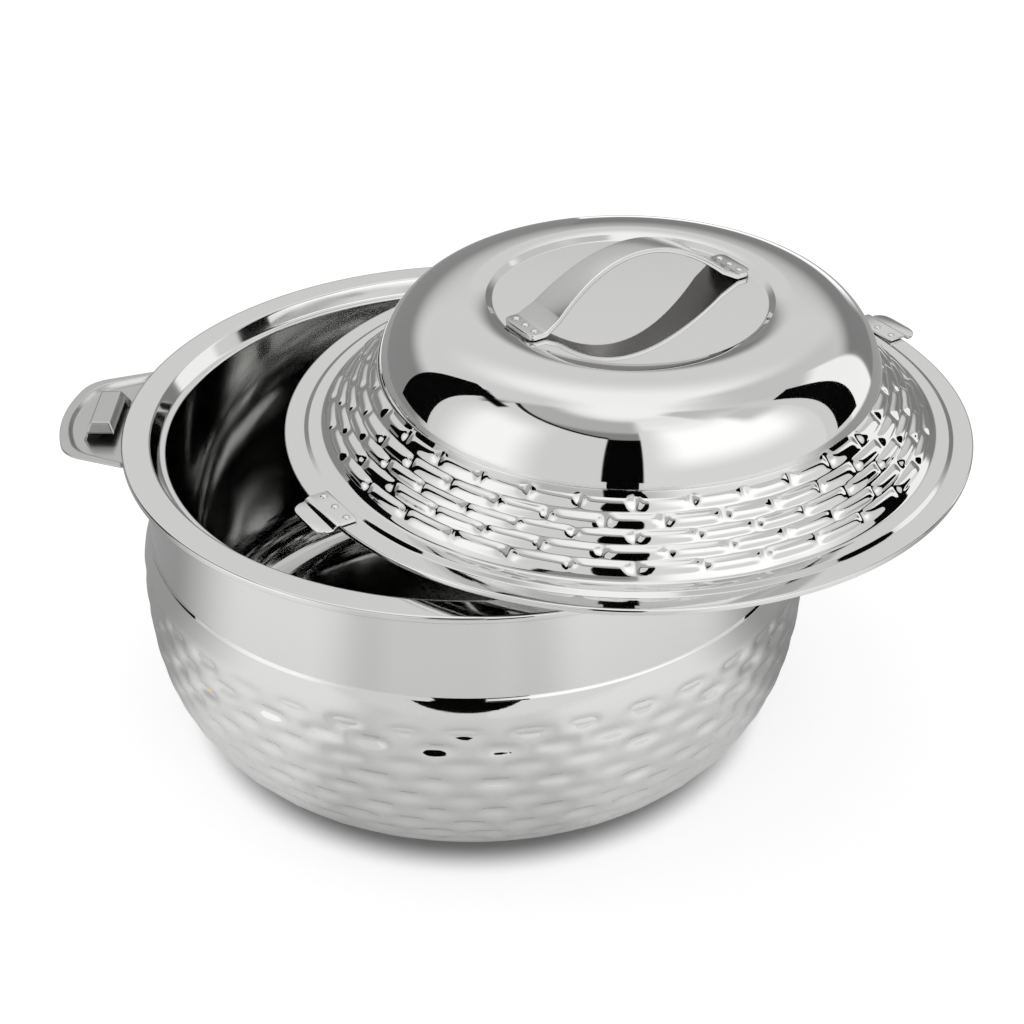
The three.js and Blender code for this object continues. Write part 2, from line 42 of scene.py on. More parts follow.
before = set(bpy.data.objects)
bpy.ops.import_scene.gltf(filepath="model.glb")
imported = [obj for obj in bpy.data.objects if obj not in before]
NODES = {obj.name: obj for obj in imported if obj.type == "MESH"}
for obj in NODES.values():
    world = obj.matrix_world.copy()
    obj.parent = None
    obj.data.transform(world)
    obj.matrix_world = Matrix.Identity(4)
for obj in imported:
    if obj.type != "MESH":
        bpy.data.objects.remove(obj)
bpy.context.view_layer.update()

MM = 0.001

# Sizes that several pieces share, in millimetres: radii and heights, and (radius, height)
# for the corners of the turned sheets. The gap under the rivets' heads, and how far they
# sink into it, come first.
SEAT_GAP = 0.3
HEAD_DROP = 0.28
WIDEST = (145.8, 83.6)
BAND_RADIUS = 141.7
APRON_RADIUS = 143.0
TRAY_ROOT = 142.05
TRAY_PANEL = 138.8
WALL_FOOT = (126.6, 5.6)
WALL_TOP = (102.2, 27.6)
DOME_FOOT = (104.7, 29.2)
DISC_EDGE = (59.2, 58)
LID_EDGE = 144.15
STRAP_SEAT = 56.3
STRAP_SHEET = 2.4
TAB_SHEET = 1.2
# How bright the steel looks in a room of brightness 1.
STEEL_SHINE = 0.7
# Settings of nodes that come often.
SMOOTH = {"interpolation_type": "SMOOTHSTEP"}
TIMES = {"operation": "MULTIPLY"}


class BowlSizes(bpy.types.PropertyGroup):
    """Sizes of the bowl."""

    dent_depth: FloatProperty(
        name="Dent depth", default=0.00140, unit="LENGTH", precision=5,
        description="Depth of the hammer dents in the belly of the bowl",
    )
    dents_round: IntProperty(
        name="Dents round", default=38,
        description="Hammer dents in each row round the bowl",
    )


class LidSizes(bpy.types.PropertyGroup):
    """Sizes and place of the lid."""

    place: FloatVectorProperty(
        name="Place", default=(0.0655, -0.013, 0.1484),
        unit="LENGTH", subtype="TRANSLATION", precision=4,
        description="Centre of the hem of the lid, where it lies on the rim",
    )
    turn: FloatProperty(
        name="Turn", default=math.radians(33.3), unit="ROTATION", subtype="ANGLE",
        description="How far the strap handle is turned from the line of the side handles",
    )
    brick_height: FloatProperty(
        name="Brick height", default=0.0011, unit="LENGTH", precision=5,
        description="How far the pressed bricks stand out of the wall of the lid",
    )
    bricks_round: IntProperty(
        name="Bricks round", default=32,
        description="Pressed bricks in each row round the lid",
    )


class FinishLooks(bpy.types.PropertyGroup):
    """Colours and polish of the materials."""

    steel: StringProperty(
        name="Steel", default="DCDCDB",
        description="Colour of the stainless steel, as sRGB hex",
    )
    satin: StringProperty(
        name="Satin steel", default="C4C4C3",
        description="Colour of the brushed steel of the handles, as sRGB hex",
    )
    mirror: FloatProperty(
        name="Mirror roughness", default=0.028, min=0.0, max=1.0, subtype="FACTOR",
        description="Roughness of the buffed sheets",
    )


class StageLooks(bpy.types.PropertyGroup):
    """Camera and room."""

    lens: FloatProperty(
        name="Lens", default=70.31, unit="CAMERA",
        description="Focal length of the camera in millimetres",
    )
    eye: FloatVectorProperty(
        name="Eye", default=(0.02716, -0.74915, 0.57163),
        unit="LENGTH", subtype="TRANSLATION", precision=4,
        description="Where the camera stands",
    )
    target: FloatVectorProperty(
        name="Target", default=(0.01680, -0.00776, 0.09767),
        unit="LENGTH", subtype="TRANSLATION", precision=4,
        description="The point that the camera looks at",
    )
    roll: FloatProperty(
        name="Roll", default=math.radians(-0.24), unit="ROTATION", subtype="ANGLE",
        description="Roll of the camera about its line of sight",
    )


# Shapes


def rounded(corners, radii, steps=5):
    """A line with its corners rounded: each corner gives way to the quadratic curve that
    starts and ends at its radius times the tangent of half the turn away from it."""
    point = np.asarray(corners, float)
    radius = np.broadcast_to(np.asarray(radii, float), len(point))
    before, after = np.vstack([point[:1], point[:-1]]), np.vstack([point[1:], point[-1:]])
    back, forth = before - point, after - point
    lengths = np.stack([np.hypot(*back.T), np.hypot(*forth.T)])
    safe = np.maximum(lengths, 1e-9)
    cosine = -(back * forth).sum(1) / (safe[0] * safe[1])
    reach = radius * np.tan(np.arccos(np.clip(cosine, -1, 1)) / 2)
    reach = np.minimum(reach, 0.48 * lengths.min(0))
    start = point + back / safe[0][:, None] * reach[:, None]
    end = point + forth / safe[1][:, None] * reach[:, None]
    u = np.linspace(0, 1, steps + 1)[None, :, None]
    curve = (1 - u) ** 2 * start[:, None] + 2 * u * (1 - u) * point[:, None] + u**2 * end[:, None]
    return without_repeats(curve.reshape(-1, 2))


def without_repeats(line):
    """The line without points that lie on the one before."""
    far = np.hypot(*np.diff(line, axis=0).T) > 1e-5
    return line[np.r_[True, far]]


def spaced(line, step, near=0.35):
    """The line with more points on its long straight runs: one every step, and one close to
    each end, so that the run shades flat up to its corners."""
    line = np.asarray(line, float)
    run = np.hypot(*np.diff(line, axis=0).T)
    at = np.r_[0, np.cumsum(run)]
    long = run > 3 * near
    extra = [at, at[:-1][long] + near, at[1:][long] - near]
    grid = np.arange(0, at[-1], step)
    nearest = np.abs(grid[:, None] - np.concatenate(extra)[None]).min(1)
    wide = run[np.clip(np.searchsorted(at, grid, side="right") - 1, 0, len(run) - 1)] > step
    extra.append(grid[(nearest > 0.3 * step) & wide])
    place = np.unique(np.concatenate(extra))
    return np.stack([np.interp(place, at, line[:, 0]), np.interp(place, at, line[:, 1])], 1)


def resampled(line, step):
    """The line with its points at equal steps."""
    line = np.asarray(line, float)
    at = np.r_[0, np.cumsum(np.hypot(*np.diff(line, axis=0).T))]
    place = np.linspace(0, at[-1], int(round(at[-1] / step)) + 1)
    return np.stack([np.interp(place, at, line[:, 0]), np.interp(place, at, line[:, 1])], 1)


def bend(start, control, end, steps):
    """The quadratic curve (1 - u)^2 start + 2 u (1 - u) control + u^2 end."""
    u = np.linspace(0, 1, steps + 1)[:, None]
    curve = (1 - u) ** 2 * np.array([start]) + 2 * u * (1 - u) * np.array([control])
    return curve + u**2 * np.array([end])


def superellipse(start, end, powers, steps):
    """A quarter turn from start, going straight up or down, to end, going level. The point at
    angle a is start.x + (end.x - start.x)(1 - cos^(2/p) a) and the same with sine for the
    height, so that greater powers make it fuller."""
    a = np.linspace(0, math.pi / 2, steps + 1)
    across = end[0] + (start[0] - end[0]) * np.cos(a) ** (2 / powers[0])
    height = start[1] + (end[1] - start[1]) * np.sin(a) ** (2 / powers[1])
    return np.stack([across, height], 1)


def normals_of(line):
    """The unit vector across the line at each of its points, a quarter turn clockwise from
    the way it runs."""
    way = np.gradient(line, axis=0)
    across = np.stack([way[:, 1], -way[:, 0]], 1)
    return across / np.maximum(np.hypot(*across.T), 1e-9)[:, None]


def doubled(line, wall):
    """The line, and back along its copy one wall across from it. Both start on the axis."""
    back = line + normals_of(line) * wall
    back[0, 0] = 0
    return np.vstack([line, back[::-1]])


def skinned(grid, wrap_rows, wrap_columns):
    """Vertices and quads of a grid of points [row, column]. A row whose points all meet
    becomes one vertex with triangles round it, which closes a pole."""
    rows, columns = grid.shape[:2]
    pole = np.ptp(grid, axis=1).max(-1) < 1e-6
    index = np.arange(rows * columns).reshape(rows, columns)
    index[pole] = index[pole][:, :1]
    down = np.arange(rows if wrap_rows else rows - 1)
    along = np.arange(columns if wrap_columns else columns - 1)
    r, c = np.meshgrid(down, along, indexing="ij")
    r, c = r.ravel(), c.ravel()
    r2, c2 = (r + 1) % rows, (c + 1) % columns
    quads = np.stack([index[r, c], index[r2, c], index[r2, c2], index[r, c2]], 1)
    return grid.reshape(-1, 3), quads


def revolved(profile, around, relief=None, closed=False):
    """A turned sheet: point i of the profile (radius, height) goes round the Z axis in equal
    steps, moved along its own normal by relief[i, step]."""
    profile = np.asarray(profile, float)
    angle = np.arange(around) * (2 * math.pi / around)
    push = np.zeros((len(profile), around)) if relief is None else relief
    across = normals_of(profile)
    radius = profile[:, :1] + across[:, :1] * push
    height = profile[:, 1:] + across[:, 1:] * push
    grid = np.stack([radius * np.cos(angle), radius * np.sin(angle), height], -1)
    return skinned(grid, closed, True)


def swept(path, half_width, thickness, edge, steps=4):
    """A flat strip along a path (distance, height) in the XZ plane: at each point stands a
    rounded rectangle, 2 half_width wide along Y and thickness deep, whose corners are arcs of
    radius edge. It is closed by a cap at each end."""
    path = np.asarray(path, float)
    across = -normals_of(path)
    turn = np.linspace(0, math.pi / 2, steps + 1)
    arc = np.stack([np.sin(turn), np.cos(turn)], 1) * edge
    half = thickness / 2 - edge
    quarter = [(1, 1, arc), (1, -1, arc[::-1]), (-1, -1, arc), (-1, 1, arc[::-1])]
    side = np.concatenate([np.full(len(a), sx) for sx, _, a in quarter])
    out = np.concatenate([a[:, 0] * sx - edge * sx for sx, _, a in quarter])
    lift = np.concatenate([(half + a[:, 1]) * sz for _, sz, a in quarter])
    y = side[None] * half_width[:, None] + out[None]
    x = path[:, :1] + across[:, :1] * lift[None]
    z = path[:, 1:] + across[:, 1:] * lift[None]
    grid = np.stack([x, y, z], -1)
    centre = grid.mean(1, keepdims=True)
    ends = [np.repeat(centre[i : i + 1], grid.shape[1], 1) for i in (0, -1)]
    return skinned(np.concatenate([ends[0], grid, ends[1]]), False, True)


def moved(points, turn, place):
    """Points turned about Z and then moved, in millimetres."""
    c, s = math.cos(turn), math.sin(turn)
    return points @ np.array([[c, s, 0], [-s, c, 0], [0, 0, 1]]) + np.asarray(place)


def facing(shape, way):
    """An open sheet with its faces turned so that they look towards way."""
    points, quads = shape
    a, b, c = (points[quads[:, i]] for i in (0, 1, 2))
    look = (np.cross(b - a, c - a) @ np.asarray(way, float)).sum()
    return (points, quads) if look > 0 else (points, quads[:, ::-1])


def joined(shapes):
    """Several shapes as one mesh."""
    starts = np.cumsum([0] + [len(points) for points, _ in shapes[:-1]])
    points = np.concatenate([points for points, _ in shapes])
    return points, np.concatenate([quads + start for start, (_, quads) in zip(starts, shapes)])


def put(name, shape, body, node, material, wall=0.0):
    """Makes the piece from (points in millimetres, quads), faces out, smooth, riding on its
    body in place of the CAD node. A quad with a repeated vertex becomes a triangle. A piece
    with a wall is one open sheet that faces out already, and Solidify gives it thickness."""
    points, quads = shape
    corners = points[quads] * MM
    volume = np.einsum("ij,ij->i", corners[:, 0], np.cross(corners[:, 1], corners[:, 2])).sum()
    volume += np.einsum("ij,ij->i", corners[:, 0], np.cross(corners[:, 2], corners[:, 3])).sum()
    if volume < 0 and not wall:
        quads = quads[:, ::-1]
    keep = quads != np.roll(quads, 1, 1)
    count = keep.sum(1)
    quads, keep, count = quads[count > 2], keep[count > 2], count[count > 2]
    used, loops = np.unique(quads[keep], return_inverse=True)
    mesh = bpy.data.meshes.new(name)
    mesh.vertices.add(len(used))
    mesh.vertices.foreach_set("co", (points[used] * MM).astype(np.float32).ravel())
    mesh.loops.add(len(loops))
    mesh.loops.foreach_set("vertex_index", loops.astype(np.int32))
    mesh.polygons.add(len(count))
    mesh.polygons.foreach_set("loop_start", np.r_[0, np.cumsum(count)[:-1]].astype(np.int32))
    mesh.polygons.foreach_set("use_smooth", np.ones(len(count), bool))
    mesh.update(calc_edges=True)
    mesh.validate()
    mesh.materials.append(material)
    piece = bpy.data.objects.new(name, mesh)
    bpy.context.scene.collection.objects.link(piece)
    if wall:
        sheet = piece.modifiers.new("sheet", "SOLIDIFY")
        sheet.thickness = wall * MM
        sheet.offset = -1.0
    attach(piece, body)
    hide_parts(node)
    return piece


# Finishes


def linear(code):
    """An sRGB hex colour as linear red, green, blue and alpha 1."""
    part = np.array([int(code[i : i + 2], 16) for i in (0, 2, 4)]) / 255
    light = np.where(part <= 0.04045, part / 12.92, ((part + 0.055) / 1.055) ** 2.4)
    return (*light.tolist(), 1.0)


def node(tree, kind, settings=None, **inputs):
    """Adds a shader node. settings are its properties, and inputs its sockets by name, with _
    for a space, or by number after an i. A socket is linked, another node is linked by its
    first output, and anything else is set as a value."""
    made = tree.nodes.new("ShaderNode" + kind)
    for key, value in (settings or {}).items():
        setattr(made, key, value)
    for key, value in inputs.items():
        by_number = key[0] == "i" and key[1:].isdigit()
        socket = made.inputs[int(key[1:]) if by_number else key.replace("_", " ")]
        if isinstance(value, bpy.types.Node):
            value = value.outputs[0]
        if isinstance(value, bpy.types.NodeSocket):
            tree.links.new(value, socket)
        else:
            socket.default_value = value
    return made


def new_material(name):
    """A material with only its output node."""
    material = bpy.data.materials.get(name) or bpy.data.materials.new(name)
    material.use_nodes = True
    material.node_tree.nodes.clear()
    return material, material.node_tree


def buffed_stainless(name, centre=(0.0, 0.0, 0.0), haze_by=1.0):
    """Stainless steel sheet, spun and then buffed to a mirror: it shows the room in clear
    shapes, with a faint haze in patches and hair-fine rings left by the buffing mop."""
    looks = bpy.context.scene.casserole_finish
    material, tree = new_material(name)
    place = node(tree, "TexCoord").outputs["Object"]
    centred = node(tree, "Mapping", Vector=place, Location=[-c for c in centre])
    split = node(tree, "SeparateXYZ", Vector=centred)
    x2 = node(tree, "Math", {"operation": "POWER"}, i0=split.outputs[0], i1=2.0)
    y2 = node(tree, "Math", {"operation": "POWER"}, i0=split.outputs[1], i1=2.0)
    sum2 = node(tree, "Math", {"operation": "ADD"}, i0=x2, i1=y2)
    radius = node(tree, "Math", {"operation": "SQRT"}, i0=sum2)
    rings_at = node(tree, "CombineXYZ", X=radius, Z=split.outputs[2])
    # Buffing lines are about 0.1 mm apart, drawn 0.5 mm apart so that they can show.
    rings = node(tree, "TexNoise", Vector=rings_at, Scale=2000.0, Detail=2.0, Roughness=0.6)
    # Haze and wiping marks, a few centimetres across.
    haze = node(tree, "TexNoise", Vector=place, Scale=28.0, Detail=3.0, Roughness=0.6)
    rough = node(
        tree, "MapRange", Value=haze, From_Min=0.3, From_Max=0.75,
        To_Min=looks.mirror * 0.7 * haze_by, To_Max=looks.mirror * 1.5 * haze_by,
    )
    bump = node(tree, "Bump", Height=rings, Strength=0.10, Distance=0.00001)
    steel = node(
        tree, "BsdfPrincipled", Base_Color=linear(looks.steel), Metallic=1.0,
        Roughness=rough, Normal=bump,
    )
    node(tree, "OutputMaterial", Surface=steel)
    return material


def brushed_stainless(name, grain=(1.0, 0.04, 1.0), turn=0.0, roughness=0.24, colour=""):
    """Stainless steel brushed along its length with abrasive belts: soft, silky highlights
    that spread across the grain."""
    looks = bpy.context.scene.casserole_finish
    material, tree = new_material(name)
    place = node(tree, "TexCoord").outputs["Object"]
    along = node(
        tree, "Mapping", {"vector_type": "TEXTURE"}, Vector=place,
        Rotation=(0.0, 0.0, turn),
    )
    squeezed = node(tree, "Mapping", Vector=along, Scale=grain)
    # Belt grain of grit 180 is about 0.08 mm wide, drawn 0.3 mm wide so that it can show.
    lines = node(tree, "TexNoise", Vector=squeezed, Scale=3200.0, Detail=3.0, Roughness=0.65)
    haze = node(tree, "TexNoise", Vector=place, Scale=60.0, Detail=2.0)
    mixed = node(tree, "Math", {"operation": "MULTIPLY_ADD"}, i0=haze, i1=0.12, i2=lines)
    rough = node(
        tree, "MapRange", Value=mixed, From_Min=0.3, From_Max=0.85,
        To_Min=roughness * 0.88, To_Max=roughness * 1.15,
    )
    bump = node(tree, "Bump", Height=lines, Strength=0.3, Distance=0.000004)
    steel = node(
        tree, "BsdfPrincipled", Base_Color=linear(colour or looks.satin), Metallic=1.0,
        Roughness=rough, Normal=bump,
    )
    node(tree, "OutputMaterial", Surface=steel)
    return material


def rigid_foam(name):
    """Polyurethane foam, poured and left raw: pale yellow, matt, full of fine cells."""
    material, tree = new_material(name)
    place = node(tree, "TexCoord").outputs["Object"]
    # Cells of about 1 mm.
    cells = node(tree, "TexVoronoi", Vector=place, Scale=900.0)
    tint = node(tree, "Mix", {"data_type": "RGBA"}, Factor=cells.outputs["Distance"])
    tint.inputs["A"].default_value = linear("D9C48B")
    tint.inputs["B"].default_value = linear("EFE2B6")
    bump = node(tree, "Bump", Height=cells.outputs["Distance"], Strength=0.5, Distance=0.0003)
    foam = node(
        tree, "BsdfPrincipled",
        Base_Color=tint.outputs["Result"], Roughness=0.92, Normal=bump,
    )
    node(tree, "OutputMaterial", Surface=foam)
    return material


def moulded_rubber(name):
    """Moulded nitrile rubber: near black, with the soft sheen of a fine spark-eroded mould."""
    material, tree = new_material(name)
    place = node(tree, "TexCoord").outputs["Object"]
    grain = node(tree, "TexNoise", Vector=place, Scale=4000.0, Detail=2.0)
    bump = node(tree, "Bump", Height=grain, Strength=0.3, Distance=0.00004)
    rubber = node(
        tree, "BsdfPrincipled",
        Base_Color=linear("232323"), Roughness=0.62, Normal=bump,
    )
    node(tree, "OutputMaterial", Surface=rubber)
    return material


# The bowl


def dent_relief(arc, around, sizes):
    """Hammer dents: in row k, n dents of 24 mm pitch go round the bowl, each row half a
    pitch on from the last. The metal between the dents stands out by 0.42 depth, and a dent is
    -depth exp(-(u/a)^4 - (v/b)^2) in millimetres along and across its row, with a small seeded
    change of place, length and depth. arc runs down the belly from where it is widest."""
    rows = np.array([0.0, 7.6, 16.4, 25.4, 34.0, 42.4, 50.8, 59.2, 67.4])
    chance = np.random.default_rng(12)
    n = sizes.dents_round
    turn = np.arange(around) / around * n
    relief = np.zeros((len(arc), around))
    for k, row in enumerate(rows):
        jitter = chance.normal(0, 1, (4, n))
        cell = turn + 0.5 * (k % 2)
        number = np.floor(cell).astype(int) % n
        pitch = 24.0 * (1 - 0.0032 * max(row - 10, 0))
        u = ((cell % 1) - 0.5) * pitch + 0.9 * jitter[0][number]
        length = 7.3 + 0.7 * jitter[1][number]
        deep = 1 + 0.18 * jitter[2][number]
        v = arc[:, None] - (row + 0.35 * jitter[3][number][None])
        relief -= deep * np.exp(-((u / length) ** 4)) * np.exp(-((v / 3.0) ** 2))
    relief += 0.42 * np.clip(np.minimum((arc + 4) / 16, (rows[-1] + 9 - arc) / 6), 0, 1)[:, None]
    return relief * sizes.dent_depth / MM


def bowl_shell(sizes):
    """The outer shell: recessed base, foot, belly, shoulder, straight band and the flange
    under the rim, closed by its own inside 0.7 mm further in."""
    base = rounded([(6, 4), (80, 4), (84.5, 0), (93, 0)], [0, 2, 2, 0])[:-1]
    belly = superellipse(WIDEST, (93, 0), (2.23, 2.94), 260)[::-1]
    # The shoulder leans in by 0 degrees at the belly and 17.9 at the crease.
    rise = np.linspace(WIDEST[1], 97.6, 25)
    lean = np.tan(np.radians(np.interp(rise, [WIDEST[1], 90, 97.6], [0, 16.5, 17.9])))
    drawn = WIDEST[0] - np.r_[0, np.cumsum((lean[1:] + lean[:-1]) / 2 * np.diff(rise))]
    shoulder = np.stack([drawn, rise], 1)[1:]
    band = rounded(
        [(BAND_RADIUS + 0.05, 98.1), (BAND_RADIUS, 98.5), (BAND_RADIUS, 140.3), (149, 140.3)],
        [0, 0.3, 0.9, 0])
    belly = resampled(belly, 0.9)
    outside = without_repeats(np.vstack([spaced(base, 30), belly, shoulder, spaced(band, 20)]))
    inside = spaced(
        [(6, 4.7), (79.7, 4.7), (84.5, 0.9), (93, 0.7), (125, 12), (141, 45), (145.1, 83.6),
         (143.4, 92), (141, 97.6), (141, 139.6), (149, 139.6)], 90)[::-1]
    arc = np.r_[0, np.cumsum(np.hypot(*np.diff(outside, axis=0).T))]
    at_belly = arc[np.abs(outside - WIDEST).sum(1).argmin()]
    around = sizes.dents_round * 11
    relief = dent_relief(at_belly - arc, around, sizes)
    # The relief runs out below the shoulder, which stays smooth.
    t = np.clip((91.0 - outside[:, 1]) / 7, 0, 1)
    relief *= (t * t * (3 - 2 * t))[:, None]
    whole = np.vstack([relief, np.zeros((len(inside), around))])
    return revolved(np.vstack([outside, inside]), around, whole, closed=True)


def pot_sheet():
    """The inner pot: floor, corner, wall, ledge, recess, flat rim and its rolled skirt."""
    floor = rounded([(0, 16), (60, 16), (103.8, 16)], 0)
    corner = bend((103.8, 16), (127.8, 16), (127.8, 40), 24)
    upper = rounded(
        [(127.8, 40), (131.8, 135.6), (134.4, 135.6), (138.2, 142), (150, 142), (150, 139.4)],
        [0, 1.0, 1.2, 1.6, 1.1, 0],
    )
    line = spaced(without_repeats(np.vstack([floor[:-1], corner, upper[1:]])), 5)
    return revolved(doubled(line, 0.7), 288)


class CASSEROLE_OT_inner_pot(bpy.types.Operator):
    """Makes the inner pot, drawn from one sheet from its floor to the rolled rim"""

    bl_idname = "casserole.inner_pot"
    bl_label = "Inner pot"

    def execute(self, context):
        put("spun_inner_pot", pot_sheet(), "bowl", "inner_pot",
            buffed_stainless("spun stainless of the pot", haze_by=2.6))
        return {"FINISHED"}


class CASSEROLE_OT_outer_shell(bpy.types.Operator):
    """Makes the outer shell of the bowl with its rows of hammer dents"""

    bl_idname = "casserole.outer_shell"
    bl_label = "Hammered shell"

    def execute(self, context):
        sizes = context.scene.casserole_bowl
        put("hammered_outer_shell", bowl_shell(sizes), "bowl", "outer_shell",
            buffed_stainless("buffed stainless of the bowl"))
        return {"FINISHED"}


class CASSEROLE_OT_base_plate(bpy.types.Operator):
    """Makes the pressed plate in the recess of the base"""

    bl_idname = "casserole.base_plate"
    bl_label = "Base plate"

    def execute(self, context):
        line = rounded([(0, 0), (53, 0), (55.9, 2.9), (62, 2.9)], [0, 2, 1.6, 0])
        put("pressed_base_plate", revolved(doubled(spaced(line, 4), -0.8), 192), "bowl",
            "base_plate",
            brushed_stainless("satin stainless of the base", (1.0, 1.0, 1.0)))
        return {"FINISHED"}


# The side handles, in their own frame: X points away from the axis of the bowl


def handle_outline(inset, root):
    """The outline of the tray, drawn in by each inset: a straight side from the circle of
    radius root, a quadratic corner, a quadratic bow round the tip and the same back. Rows are
    the insets and columns run along the outline."""
    inset, root = inset[:, None], root[:, None]
    tip, corner_x, corner_y = 177.5 - inset, 171.5 - inset, 31.5 - inset
    slope = 7.8 / (corner_x - 150)
    level = 39.3 - inset + 150 * slope
    reach = np.sqrt((level * slope) ** 2 - (1 + slope**2) * (level**2 - root**2))
    start_x = (level * slope + reach) / (1 + slope**2)
    inner_x, outer_x = corner_x - 8, corner_x + 0.4 * (tip - corner_x)
    inner_y, outer_y = corner_y + 8 * slope, corner_y - 8
    t = np.linspace(0, 1, 13)[None, :-1]
    side_x = start_x + (inner_x - start_x) * t
    side_y = level - slope * side_x
    turn_x = (1 - t) ** 2 * inner_x + 2 * t * (1 - t) * corner_x + t**2 * outer_x
    turn_y = (1 - t) ** 2 * inner_y + 2 * t * (1 - t) * corner_y + t**2 * outer_y
    u = np.linspace(0, 1, 33)[None]
    bow_x = ((1 - u) ** 2 + u**2) * outer_x + 2 * u * (1 - u) * (2 * tip - outer_x)
    bow_y = ((1 - u) ** 2 - u**2) * outer_y
    half = np.stack([np.hstack([side_x, turn_x]), np.hstack([side_y, turn_y])], -1)
    bow = np.stack([bow_x, bow_y], -1)
    return np.concatenate([half, bow, half[:, ::-1] * (1, -1)], 1)


def handle_tray():
    """The pressed tray: from the edge over the raised border and down into the panel, the
    section (inset, height) follows the outline, and the panel then closes in straight lines
    on the arc where it meets the band of the bowl."""
    section = spaced(rounded(
        [(0, 140.0), (0, 140.8), (3.5, 140.8), (4.9, TRAY_PANEL), (8, TRAY_PANEL)],
        [0, 0.8, 1.1, 1.0, 0]), 0.8, 0.2)
    root = np.interp(section[:, 1], [138.85, 139.2], [TRAY_ROOT, 150.3])
    plan = handle_outline(section[:, 0], root)
    rows = np.concatenate([plan, np.broadcast_to(
        section[:, 1, None, None], (*plan.shape[:2], 1))], -1)
    turn = np.arctan2(plan[-1, 0, 1], plan[-1, 0, 0]) * np.linspace(0.93, -0.93, plan.shape[1])
    level = np.full(len(turn), TRAY_PANEL)
    end = np.stack([TRAY_ROOT * np.cos(turn), TRAY_ROOT * np.sin(turn), level], 1)
    t = np.linspace(0, 1, 7)[1:, None, None]
    panel = rows[-1] + (end - rows[-1]) * t
    return skinned(np.concatenate([rows, panel]), False, False)


def handle_apron():
    """The apron down the band: a part of the cylinder of radius 143, |y| up to 32, whose two
    lower corners are cut by quarter circles of radius 6."""
    y = np.linspace(-32, 32, 49)
    low = 125.8 + 6 - np.sqrt(36 - np.clip(np.abs(y) - 26, 0, 6) ** 2)
    z = low + (138.2 - low) * np.linspace(1, 0, 9)[:, None]
    x = np.sqrt(APRON_RADIUS**2 - y**2)
    grid = np.stack(np.broadcast_arrays(x[None], y[None], z), -1)
    return skinned(grid, False, False)


def pressed_block(low, high, slopes, base, rise, stop):
    """A pressed block: its height over the base is the rise times the soft least of 1 and
    the distances from the four edges over the width of their slopes, where the soft least of
    some numbers is -k log(sum of exp(-number / k)). stop gives where the sheet ends at low X
    and at high Y, which leaves the mouth for the tongue of a lock tab."""
    k = 0.055
    t = np.linspace(-1, 1, 61)
    even = 0.5 + 0.5 * np.sign(t) * np.abs(t) ** 0.6
    y = (low[1] + (stop[1] - low[1]) * even)[:, None]
    start = low[0] + (stop[0] - low[0]) * np.clip((y - low[1] - 5.6) / 0.6, 0, 1)
    x = start + (high[0] - start) * even[None]
    y = np.broadcast_to(y, x.shape)
    sides = np.stack([
        np.ones_like(x), (x - low[0]) / slopes[0], (high[0] - x) / slopes[0],
        (y - low[1]) / slopes[1], (high[1] - y) / slopes[2]])
    height = -k * np.log(np.exp(-sides / k).sum(0))
    grid = np.stack([x, y, base + rise * np.maximum(height, 0)], -1)
    return skinned(grid, False, False)


class CASSEROLE_OT_side_handles(bpy.types.Operator):
    """Makes the two pressed side handles with their catches, and their rivets"""

    bl_idname = "casserole.side_handles"
    bl_label = "Side handles"

    def execute(self, context):
        satin = brushed_stainless("satin stainless of the handles")
        hood = pressed_block(
            (150.6, -18.2), (165.6, 18.2), (3.2, 5.2, 3.2), 138.3, 8.4, (152.2, 16.7))
        up, out = (0, 0, 1), (1, 0, 0)
        sheet = joined([facing(handle_tray(), up), facing(handle_apron(), out),
                        facing(hood, up)])
        points, quads = rivet(1.5, 2.0)
        points = points[:, [2, 1, 0]] * (1, 1, -1)
        for side, turn in (("right", 0), ("left", math.pi)):
            put(f"pressed_side_handle_{side}", (moved(sheet[0], turn, (0, 0, 0)), sheet[1]),
                "bowl", f"side_handle_{side}", satin, 1.0)
            for end, sign in (("front", -1), ("back", 1)):
                at = turn + sign * math.radians(8.93) * math.cos(turn)
                placed = moved(points, 0, (APRON_RADIUS + 0.02 - SEAT_GAP, 0, 131.5))
                put(f"handle_dome_rivet_{side}_{end}", (moved(placed, at, (0, 0, 0)), quads),
                    "bowl", f"handle_rivet_{side}_{end}", satin)
        return {"FINISHED"}


# The lid


def brick_relief(share, around, sizes):
    """Pressed bricks: five rows on the straight wall, given by their middle and half height as
    shares of its length, with n bricks in each. A brick is a pillow, its height times
    (1 - u^8)^1.2 (1 - v^2)^1.3 inside its rectangle, with u and v from -1 to 1 along and
    across it. Each is a little longer, higher or further over than the next."""
    rows = [(0.095, 0.088, 1.3), (0.275, 0.085, 1.3), (0.45, 0.085, 1.2), (0.635, 0.095, 1.0),
            (0.855, 0.108, 0.4)]
    chance = np.random.default_rng(5)
    n = sizes.bricks_round
    turn = np.arange(around) / around * n
    relief = np.zeros((len(share), around))
    for k, (middle, half, wild) in enumerate(rows):
        jitter = chance.normal(0, 1, (5, n)) * wild
        cell = turn + 0.5 * (k % 2)
        number = np.floor(cell).astype(int) % n
        reach = 0.472 + 0.012 * jitter[0][number]
        u = ((cell % 1) - 0.5 + 0.015 * jitter[1][number]) / reach
        v = (share[:, None] - middle - 0.006 * jitter[2][number][None]) / half
        lean = 1 + 0.22 * jitter[4][number][None] * u[None] * 0.5
        high = (1 + 0.16 * jitter[3][number][None]) * lean
        u = np.clip(np.abs(u), 0, 1)
        v = np.clip(np.abs(v), 0, 1)
        relief += high * ((1 - u**8) ** 1.2) * ((1 - v**2) ** 1.3)
    return relief * sizes.brick_height / MM


